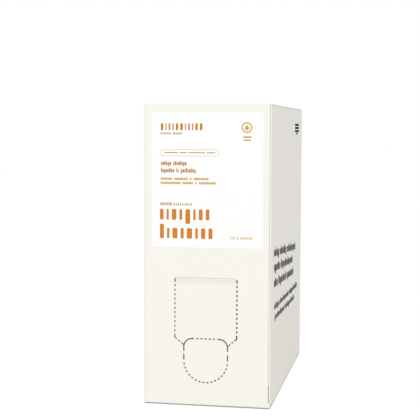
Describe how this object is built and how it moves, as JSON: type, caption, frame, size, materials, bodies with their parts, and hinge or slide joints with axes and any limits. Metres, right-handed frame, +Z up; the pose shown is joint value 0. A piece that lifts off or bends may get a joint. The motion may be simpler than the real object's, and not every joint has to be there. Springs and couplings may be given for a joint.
{
  "type": "hand soap refill pack",
  "caption": "Sealed corrugated carton for a liquid refill, with a paper label, glued flaps and a perforated door over a tap hole.",
  "frame": {"origin": "middle of the base, on the surface that the pack stands on", "axes": "+Z up, -Y out of the front panel that holds the label and the tear-out door, +X towards the viewer's right when the front is faced"},
  "size_m": [0.081, 0.1802, 0.19],
  "materials": {
    "board": "matt, white-lined corrugated board with a cream print coat",
    "label_paper": "smooth white label paper with orange and tan print"
  },
  "bodies": {
    "root": {"carton": "board", "front_label": "label_paper"}
  },
  "joints": []
}
